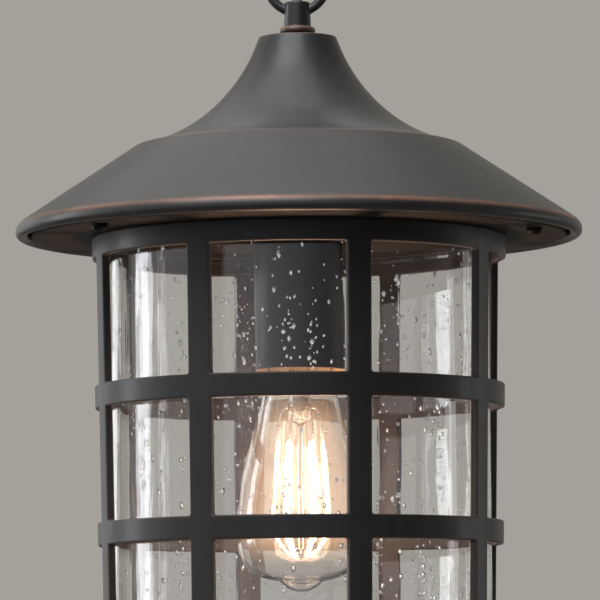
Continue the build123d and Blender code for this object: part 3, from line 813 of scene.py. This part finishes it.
def make_loop():
    """A round wire ring in the XZ plane, its wire a little thicker where it is brazed to the collar.

    Each line of it starts where it meets the collar's side, at
    sin a = sqrt(collar² - (wire sin b)²) / (radius + wire cos b). It is worn inside, at its top.
    """
    wire, radius, centre, collar, fillet, run_out = 2.1, 13.55, -11.45, 5.5, 0.35, 0.8
    b = circle(24)[None, :]
    start = np.arcsin(np.sqrt(collar**2 - (wire * np.sin(b)) ** 2) / (radius + wire * np.cos(b)))
    a = math.pi + np.linspace(-1, 1, 121)[:, None] * (math.pi - start)
    near = radius * (math.pi - start - np.abs(a - math.pi))
    reach = radius + (wire + fillet * np.exp(-near / run_out)) * np.cos(b)
    points = np.stack([reach * np.sin(a), wire * np.sin(b) + 0 * a, centre - reach * np.cos(a)], axis=-1)
    inside = (np.cos(b) < -0.75) & (np.abs(a - math.pi) < 0.7)
    return surface("loop_ring", sheet(points, np.where(inside, 0.7, 0.0), wrap_columns=True))


put(make_loop(), "root", "loop_bronze", "hang_loop")


# Cage


def cage_outer(z):
    """The cage's outer radius at a height."""
    return CAGE_TOP_R + (CAGE_FOOT_R - CAGE_TOP_R) * (CAGE_TOP - z) / (CAGE_TOP - CAGE_FOOT)


def cage_points(turn, side, x, z, depth):
    """Points of the cage, at angle = turn + side (22.5° - asin(x / radius)).

    x is the distance from the nearest bar's middle plane. side runs from -1 at one bar to 1 at the next.
    """
    r = cage_outer(z) - depth
    return polar(r, turn + side * (math.pi / 8 - np.arcsin(x / r)), z)


def window_outline(top, foot):
    """Once round a window: side, corner centre, direction outwards and the cell's edge, as arrays.

    A quarter of it is a corner of steps points, up to the cell's corner and past it, and then as many
    points level to the window's middle. A flank joins the upper quarter to the lower one.
    """
    half, run, steps, tiny = BAR / 2 + CORNER, HALF_RING + CORNER, 11, 1e-9
    turn = math.atan2(run, half)
    b = np.concatenate([np.linspace(0, turn, 6), np.linspace(turn, math.pi / 2, 6)[1:]])
    far = np.minimum(half / np.maximum(np.cos(b), tiny), run / np.maximum(np.sin(b), tiny))
    b = np.concatenate([b, np.full(steps, math.pi / 2)])
    far = np.concatenate([far, np.full(steps, run)])
    side = np.concatenate([np.ones(steps), np.linspace(1, 0, steps + 1)[1:]])
    quarter = []
    for up, z in ((1, top - CORNER), (-1, foot + CORNER)):
        way = np.stack([-np.cos(b), up * np.sin(b)], axis=1)
        centre = np.broadcast_to([half, z], way.shape)
        quarter.append((side, centre, way, centre + way * far[:, None]))
    mid = np.linspace(top - CORNER, foot + CORNER, steps)[1:-1]
    way = np.broadcast_to([-1.0, 0.0], (len(mid), 2))
    centre = np.stack([np.full(len(mid), half), mid], axis=1)
    flank = (np.ones(len(mid)), centre, way, centre + way * half)
    upper, lower = quarter

    def mirrored(part, backwards):
        """A stretch on the other side of the window's middle."""
        values = [-part[0], *part[1:]]
        return [v[::-1] for v in values] if backwards else values

    trim = [v[:-1] for v in upper], [v[:-1] for v in lower]
    pieces = [upper, mirrored(trim[0], True), mirrored(flank, False), mirrored(trim[1], False)]
    pieces += [[v[::-1] for v in lower], [v[::-1] for v in flank]]
    return [np.concatenate([p[i] for p in pieces]) for i in range(4)]


# The eased edge: how far it reaches along the face and into the wall, and its wear

EASE = 0.75
BEND = np.radians(np.linspace(0, 90, 7))
EDGE = np.stack([EASE * (1 - np.sin(BEND)), EASE * (1 - np.cos(BEND))], axis=1)
EDGE_WEAR = np.sin(BEND * 2) ** 2
FACE_STRIP = 0.5
WALL_STRIP = 0.4
BAYS = (np.arange(8) * math.pi / 4)[:, None, None]


def cage_cells():
    """Eight cells round each of three rows of windows.

    Each cell is rings of one outline: from the cell's edge over the face, round the eased outer
    edge, through the wall, round the inner edge and back over the inside.
    """
    near, made = EASE + FACE_STRIP, []
    grow = np.concatenate([EDGE[:, 0], [0, 0], EDGE[::-1, 0]])
    through = [EASE + WALL_STRIP, CAGE_WALL - EASE - WALL_STRIP]
    depth = np.concatenate([EDGE[:, 1], through, CAGE_WALL - EDGE[::-1, 1]])
    wear = np.concatenate([EDGE_WEAR, [0, 0], 0.25 * EDGE_WEAR])
    for top, foot in WINDOWS:
        side, centre, way, edge = window_outline(top, foot)
        flat = centre + way * (CORNER + near)
        rings = [edge, edge + (flat - edge) * 0.45, flat]
        rings += [centre + way * (CORNER + g) for g in grow]
        rings += rings[2::-1]
        rings = np.stack(rings)
        depths = np.concatenate([[0, 0, 0], depth, [CAGE_WALL] * 3])[None, :, None]
        worn = np.concatenate([[0, 0, 0], wear, [0, 0, 0]])[:, None]
        points = cage_points(BAYS, side[None, None], rings[None, :, :, 0], rings[None, :, :, 1], depths)
        made += [sheet(cell, worn, wrap_columns=True) for cell in points]
    return made


def cage_band(window, level, profile):
    """Eight strips from one row of windows' cell edges to the cage's end, along (height, depth, wear)."""
    side, _, _, edge = window_outline(*window)
    on = np.abs(edge[:, 1] - level) < 1e-6
    order = np.lexsort((np.where(side[on] > 0, edge[on, 0], -edge[on, 0]), -side[on]))
    side, x = side[on][order][:, None], edge[on, 0][order][:, None]
    z, depth, wear = (np.array(column, float)[None, :] for column in zip(*profile))
    points = cage_points(BAYS, side[None], x[None], z[None], depth[None])
    return [sheet(strip, wear) for strip in points]


def make_cage():
    """The casting: window cells, a top band, a foot band with its inward lip, and four bosses."""
    low, high = WINDOWS[0][0] + HALF_RING, WINDOWS[-1][1] - HALF_RING
    top, foot, inner = CAGE_TOP, CAGE_FOOT, CAGE_WALL + LIP
    edge = [(g, d, w) for (g, d), w in zip(EDGE, EDGE_WEAR)]
    upper = [(low, 0, 0), (top - EASE - FACE_STRIP, 0, 0)]
    upper += [(top - g, d, w * 0.6) for g, d, w in edge]
    upper += [(top, CAGE_WALL, 0), (low, CAGE_WALL, 0)]
    lower = [(high, 0, 0), (foot + EASE + FACE_STRIP, 0, 0)]
    lower += [(foot + g, d, w) for g, d, w in edge]
    lower += [(foot, EASE + FACE_STRIP, 0), (foot, inner - 1.2, 0)]
    lower += [(foot + d, inner - g, w) for g, d, w in edge[::-1]]
    lip = foot + LIP_HEIGHT
    lower += [(lip - 0.3, inner, 0), (lip, inner - 0.3, 0), (lip, CAGE_WALL, 0), (high, CAGE_WALL, 0)]
    parts = cage_cells() + cage_band(WINDOWS[0], low, upper) + cage_band(WINDOWS[-1], high, lower)
    nose = arc((2.2, top - 8.2), 0.8, -90, 0, 5)
    boss = np.concatenate([[(0.0, top - 9.0)], nose, [(3.0, top - 7.4), (3.0, top), (0.0, top)]])
    x, y, z = post(CAGE_BOSS_CIRCLE, boss, 24)
    x = np.minimum(x, CAGE_BOSS_REACH)
    parts += [sheet(swung(x, y, z, a), wrap_rows=True) for a in CAGE_BOSSES]
    return surface("cage_casting", *parts)


put(make_cage(), "cage", "cage_bronze", "cage")


# Glass


def glass_wave(angle, z, seed, size):
    """Slow unevenness of drawn glass: a sum of nine waves, each size w sin(n angle + k z + phase) / 3."""
    rng = np.random.default_rng(seed)
    total = 0.0
    for _ in range(9):
        around, along = rng.integers(2, 12), rng.uniform(-0.1, 0.1)
        total = total + rng.uniform(0.4, 1.0) * np.sin(around * angle + along * z + rng.uniform(0, 6.28))
    return size * total / 3


SEEDS = 2300


def seed_bubbles(count, middle):
    """Small drawn-out bubbles in the wall, as ellipsoids (w sin t cos p, d sin t sin p, l cos t).

    Most are strewn; the rest follow short upright strings. The faces look into the bubble.
    """
    rng = np.random.default_rng(7)
    strings, strung_share, low, high = 34, 0.34, GLASS_FOOT + 5, GLASS_TOP - 5
    angle = rng.uniform(0, 2 * math.pi, count)
    z = rng.uniform(low, high, count)
    member = rng.integers(0, strings, count)
    lead_angle, lead_z = rng.uniform(0, 2 * math.pi, strings), rng.uniform(-304, -139, strings)
    strung = rng.random(count) < strung_share
    angle = np.where(strung, lead_angle[member] + rng.normal(0, 0.022, count), angle)
    z = np.where(strung, np.clip(lead_z[member] + rng.normal(0, 9, count), low, high), z)
    width = np.clip(rng.lognormal(-0.72, 0.42, count), 0.25, 1.1)
    length = width * rng.uniform(1.0, 1.9, count)
    deep = 0.75 * np.minimum(width, 1.05)
    r = middle + rng.uniform(-0.3, 0.3, count)
    lean = rng.normal(0, 0.12, count)
    t = np.radians([0, 42, 90, 138, 180])[None, :, None]
    p = circle(7)[None, None, :]
    width, length, deep, r, lean, angle, z = (
        v[:, None, None] for v in (width, length, deep, r, lean, angle, z)
    )
    up = length * np.cos(t) + 0 * p
    side = width * np.sin(t) * np.cos(p) + up * lean
    out = r + deep * np.sin(t) * np.sin(p)
    # Wear of one on the seeds' faces only marks them for the glass's painted glint
    return [sheet(bubble, 1.0, wrap_columns=True) for bubble in swung(out, side, z + up, angle)]


def make_glass():
    """The wavy cylinder with its fire-polished ends and its seeds."""
    skin, end, rows, steps, wave = 0.1, 0.6, 60, 288, 0.03
    outer, inner = GLASS_R - skin, GLASS_R - GLASS_WALL + skin
    middle = (outer + inner) / 2
    points = np.concatenate(
        [
            arc((outer - end, GLASS_FOOT + end), end, -90, 0, 5),
            straight((outer, GLASS_FOOT + end), (outer, GLASS_TOP - end), rows)[1:],
            arc((outer - end, GLASS_TOP - end), end, 0, 90, 5)[1:],
            arc((inner + end, GLASS_TOP - end), end, 90, 180, 5),
            straight((inner, GLASS_TOP - end), (inner, GLASS_FOOT + end), rows)[1:],
            arc((inner + end, GLASS_FOOT + end), end, 180, 270, 5)[1:],
        ]
    )

    def shift(angle, height):
        """The waves of the outer face, and others on the inner one."""
        out, back = glass_wave(angle, height, 11, wave), glass_wave(angle, height, 29, wave)
        return np.where(points[None, :, 0] > middle, out, back)

    tube = surface("glass_with_seeds", turned((points, np.zeros(len(points))), steps, shift))
    seeds = surface("seeds", *seed_bubbles(SEEDS, middle))
    work = bmesh.new()
    work.from_mesh(seeds.data)
    bmesh.ops.reverse_faces(work, faces=work.faces)
    work.from_mesh(tube.data)
    work.to_mesh(tube.data)
    work.free()
    tube.data.polygons.foreach_set("use_smooth", np.ones(len(tube.data.polygons), bool))
    bpy.data.meshes.remove(seeds.data)
    return tube


put(make_glass(), "cage", "seeded_glass", "glass_cylinder")


# Socket cup


def make_cup():
    """The drawn cup, turned about Z: rounded top corner, thin wall, rolled foot edge, bright inside."""
    wall, corner, foot = CUP_R - CUP_WALL, 3.0, CUP_FOOT
    profile = outline(
        ([(STEM_HOLE, CUP_TOP), (CUP_R - corner, CUP_TOP)], 0.0),
        (arc((CUP_R - corner, CUP_TOP - corner), corner, 90, 0, 14), 0.0),
        (straight((CUP_R, CUP_TOP - corner - 0.5), (CUP_R, foot + 0.5), 30), 0.0),
        (arc((CUP_R - 0.45, foot + 0.45), 0.45, 0, -180, 10), np.linspace(0.2, 1.0, 11)),
        (straight((wall, foot + 0.5), (wall, CUP_TOP - corner - 0.5), 24), 1.0),
        (arc((CUP_R - corner, CUP_TOP - corner), corner - CUP_WALL, 0, 80, 8), 0.9),
        ([(STEM_HOLE, CUP_TOP - 1.2)], 0.9),
    )
    return surface("cup_drawn", turned(profile, 128))


put(make_cup(), "root", "black_cup", "socket_cup")


# Lamp


def envelope(depth):
    """The lamp's outline from neck to tip: three cubics, drawn in by depth."""
    neck, wide = 12.4 - depth, 28.7 - depth
    widest, neck_foot = LAMP_TIP + 25.5, BASE_FOOT - 3.0
    tip, crook, crook_z = LAMP_TIP + depth, 10.2 - depth, LAMP_TIP + 4.7 + depth
    pull = math.dist((neck, neck_foot), (wide, widest)) / 3
    start, middle, end = (neck, neck_foot), (wide, widest), (crook, crook_z)
    flank = bezier(start, (neck + 0.12 * pull, neck_foot - pull), (wide, widest + pull), middle, 60)
    belly = bezier(middle, (wide, widest - 13.0), (crook + 13.0, crook_z + 2.115), end, 40)
    nose = bezier(end, (crook * 0.62, crook_z - 2.35), (crook * 0.55, tip), (0, tip), 24)
    return np.concatenate([flank, belly[1:], nose[1:]])


def make_envelope():
    """Clear glass of even wall, open at the neck, turned about Z."""
    outer, inner = envelope(0), envelope(LAMP_WALL)
    top = BASE_FOOT + 6.0
    profile = outline(([(inner[0][0], top), (outer[0][0], top)], 0), (outer, 0), (inner[::-1], 0))
    return surface("lamp_envelope", turned(profile, 160))


put(make_envelope(), "bulb", "lamp_glass", "bulb_envelope")


def make_stem():
    """A hollow glass tube that flares to the neck, ends in a pressed bowl and goes on as a rod."""
    top, bowl = BASE_FOOT + 5.8, FLARE - 1.2
    rod_end = LAMP_TIP + 14.0
    outer = np.concatenate(
        [
            bezier((11.2, top), (10.0, top - 4), (5.4, top - 7), (4.6, top - 13), 14),
            bezier((4.6, top - 13), (4.4, top - 20), (5.0, bowl + 6), (5.3, bowl), 12)[1:],
            bezier((5.3, bowl), (5.4, bowl - 3.4), (3.4, bowl - 5.4), (1.9, bowl - 6.0), 12)[1:],
            bezier((1.9, bowl - 6.0), (1.2, bowl - 6.4), (1.15, bowl - 7.4), (1.15, bowl - 9), 8)[1:],
            straight((1.15, bowl - 9), (1.15, rod_end + 2.4), 16)[1:],
            arc((0.0, rod_end + 1.7), 1.7, 45, -90, 10),
        ]
    )
    inner = np.concatenate(
        [
            bezier((0.0, bowl - 4.0), (2.6, bowl - 3.9), (4.4, bowl - 2.2), (4.3, bowl), 10),
            bezier((4.3, bowl), (4.1, bowl + 6), (3.6, top - 20), (3.7, top - 13), 10)[1:],
            bezier((3.7, top - 13), (4.6, top - 7), (9.4, top - 4), (10.5, top), 12)[1:],
        ]
    )
    profile = np.concatenate([outer, inner])
    return surface("lamp_stem", turned((profile, np.zeros(len(profile))), 64))


put(make_stem(), "bulb", "lamp_glass", "bulb_stem", own=stem_glass)

FILAMENT_TURNS = np.radians(10.0 + 60.0 * np.arange(6))


def make_filaments():
    """Six rods: a line from (10.0, tip + 68) to (12.3, tip + 33.5), then its tangent arc to the foot."""
    top, belly = np.array(FILAMENT_TOP), np.array([12.3, LAMP_TIP + 33.5])
    foot = np.array([2.6, LAMP_TIP + 15.2])
    way = (belly - top) / np.linalg.norm(belly - top)
    inward = np.array([way[1], -way[0]])
    gap = foot - belly
    reach = gap @ gap / (2 * gap @ inward)
    centre = belly + inward * reach
    start = math.degrees(math.atan2(*(belly - centre)[::-1]))
    end = math.degrees(math.atan2(*(foot - centre)[::-1]))
    path = np.concatenate([straight(top, belly, 24), arc(centre, reach, start, end, 20)[1:]])
    taper = np.interp(np.arange(len(path)), [0, 26, len(path) - 1], [1.0, 1.0, 0.5])
    thick = tapered_ends(len(path), FILAMENT_R) * taper
    return surface("lamp_filaments", *rods(path, thick, FILAMENT_TURNS))


put(make_filaments(), "bulb", "filament", "bulb_filaments")


def make_wires():
    """Fine wires, each a cubic from the pressed bowl out to a filament's top."""
    top = (FILAMENT_TOP[0], FILAMENT_TOP[1] + 0.6)
    path = bezier((4.2, FLARE - 1.0), (7.0, FLARE + 2.4), (9.6, FLARE - 2.0), top, 18)
    return surface("lamp_wires", *rods(path, tapered_ends(len(path), WIRE_R, 1), FILAMENT_TURNS, 8))


put(make_wires(), "bulb", "nickel", "bulb_support_wires")


def make_base():
    """The drawn base shell: a thin turned wall with a round thread.

    The thread cuts in by depth (0.5 - 0.5 cos(2 pi z / pitch - angle)), and fades out at both ends.
    """
    low, high, wall, depth, pitch, fade = BASE_FOOT, BASE_TOP, 0.4, 0.6, 3.6, 1.2
    rise = straight((BASE_R, low + wall), (BASE_R, high - 1.2), 96)
    profile = outline(
        ([(BASE_R - wall, low), (BASE_R - 0.1, low)], 0),
        (rise, 0),
        (arc((BASE_R - 1.6, high - 1.2), 1.6, 10, 90, 8), 0),
        ([(6.0, high + 0.4), (6.0, high)], 0),
        (arc((BASE_R - 1.6, high - 1.2), 1.2, 90, 10, 6), 0),
        (straight((BASE_R - wall, high - 1.2), (BASE_R - wall, low + wall), 96), 0),
    )

    def shift(angle, height):
        """The thread."""
        on = np.clip((height - low - 2.5) / fade, 0, 1) * np.clip((high - 2.0 - height) / fade, 0, 1)
        return -depth * on * (0.5 - 0.5 * np.cos(2 * math.pi * height / pitch - angle))

    return surface("lamp_base", turned(profile, 96, shift))


put(make_base(), "bulb", "nickel", "bulb_base_shell")


# Floor and light


def make_floor():
    """A pale square floor well below the lantern, seen through from below."""
    half, level = 6.0, -1.15
    mesh = bpy.data.meshes.new("floor")
    mesh.from_pydata([(x, y, level) for y in (-half, half) for x in (-half, half)], [], [(0, 1, 3, 2)])
    floor = bpy.data.objects.new("floor", mesh)
    bpy.context.scene.collection.objects.link(floor)
    material, tree, output = new_material("floor")
    pale = add(tree, "BsdfDiffuse", {"Color": rgb(0.28, 0.267, 0.24)})
    clear = add(tree, "BsdfTransparent")
    back = add(tree, "NewGeometry").outputs["Backfacing"]
    mix = add(tree, "MixShader", {0: back, 1: pale.outputs[0], 2: clear.outputs[0]})
    tree.links.new(mix.outputs[0], output.inputs[0])
    floor.data.materials.append(material)


make_floor()


def softbox(name, angle, height, distance, size, brightness, colour, aim=-0.204, through=True):
    """A soft panel that faces the height aim on the lantern's axis, and is hidden from the camera.

    The angle runs from +X towards +Y, in degrees; lengths are in metres. brightness is how bright its
    face looks, and through lets it be seen in what the glass bends.
    """
    data = bpy.data.lights.new(name, "AREA")
    data.shape = "RECTANGLE"
    data.size, data.size_y = size
    data.energy = brightness * math.pi * size[0] * size[1]
    data.color = colour
    lamp = bpy.data.objects.new(name, data)
    a = math.radians(angle)
    lamp.location = (distance * math.cos(a), distance * math.sin(a), height)
    to = Vector((0, 0, aim)) - lamp.location
    lamp.rotation_mode = "QUATERNION"
    lamp.rotation_quaternion = to.to_track_quat("-Z", "Y")
    lamp.visible_camera = False
    lamp.visible_transmission = through
    bpy.context.scene.collection.objects.link(lamp)


# Name, angle, height, distance, size, brightness and colour; the last three panels have their own aim
PANELS = (
    ("softbox_left", 168, 0.116, 1.7, (0.43, 1.1), 4.6, (0.93, 0.95, 1.0)),
    ("strip_left", 139.5, -0.1, 1.7, (0.1, 1.1), 3.2, (0.92, 0.95, 1.0)),
    ("panel_left", 127, -0.1, 1.7, (0.36, 1.1), 0.75, (0.9, 0.94, 1.0)),
    ("strip_first", 183.5, -0.1, 1.7, (0.03, 1.1), 2.5, (1.0, 0.99, 0.98)),
    ("strip_second", 188, -0.1, 1.7, (0.025, 1.1), 2.2, (1.0, 0.99, 0.98)),
    ("softbox_right", 19, -0.364, 1.9, (0.26, 0.76), 1.95, (1.0, 1.0, 1.0)),
    ("panel_right", 34, -0.25, 1.9, (0.4, 0.8), 0.7, (1.0, 0.99, 0.98)),
    ("panel_front", -109, 1.1, 1.0, (1.4, 1.0), 4.4, (0.985, 0.985, 1.0), -0.1),
    ("panel_top", 200, 1.5, 0.2, (1.3, 1.3), 1.6, (1.0, 0.99, 0.985), -0.1, False),
    ("panel_behind", 122, 1.2, 1.1, (1.8, 1.0), 0.65, (0.98, 0.985, 1.0), -0.1, False),
)
for panel in PANELS:
    softbox(*panel)


def make_glow():
    """The lamp's own light, among its filaments. It stays where the lamp is at rest."""
    data = bpy.data.lights.new("lamp_glow", "POINT")
    data.energy = 0.7
    data.color = (1.0, 0.60, 0.42)
    data.shadow_soft_size = 0.012
    lamp = bpy.data.objects.new("lamp_glow", data)
    lamp.location = (0, 0, -0.242)
    lamp.visible_camera = False
    lamp.visible_transmission = False
    bpy.context.scene.collection.objects.link(lamp)


make_glow()


BACKDROP = rgb(0.372, 0.356, 0.324)
EVEN = rgb(0.40, 0.40, 0.41)


def make_world():
    """An even pale backdrop, and for gloss a room that darkens to the right in front of it.

    The camera sees the backdrop all round. What the glass bends far aside sees the bright room in
    front of the lantern, which lights up the rims of its seeds. Diffuse light is even.
    """
    world = bpy.data.worlds.new("room")
    bpy.context.scene.world = world
    world.use_nodes = True
    tree = world.node_tree
    tree.nodes.clear()
    output = tree.nodes.new("ShaderNodeOutputWorld")
    path = add(tree, "LightPath")
    x, y, _ = add(tree, "SeparateXYZ", {0: where(tree)}).outputs
    side = span(tree, x, -0.35, 0.75, 0.0, 1.0, True)
    front = blend(tree, side, rgb(0.5, 0.5, 0.53), rgb(0.05, 0.042, 0.038))
    back = blend(tree, span(tree, x, 0.35, 0.8, 0.0, 1.0, True), BACKDROP, rgb(0.2, 0.19, 0.18))
    room = blend(tree, span(tree, y, -0.1, 0.3, 0.0, 1.0, True), front, back)
    aside = blend(tree, side, rgb(0.8, 0.81, 0.84), rgb(0.14, 0.13, 0.125))
    bent = blend(tree, span(tree, y, 0.2, 0.7, 0.0, 1.0, True), aside, BACKDROP)
    shader = add(tree, "Background", {"Color": EVEN})
    for ray, colour in (("Glossy", room), ("Transmission", bent), ("Camera", BACKDROP)):
        seen = add(tree, "Background", {"Color": colour})
        share = path.outputs[f"Is {ray} Ray"]
        shader = add(tree, "MixShader", {0: share, 1: shader.outputs[0], 2: seen.outputs[0]})
    tree.links.new(shader.outputs[0], output.inputs[0])


make_world()
bpy.context.scene.view_settings.view_transform = "Standard"
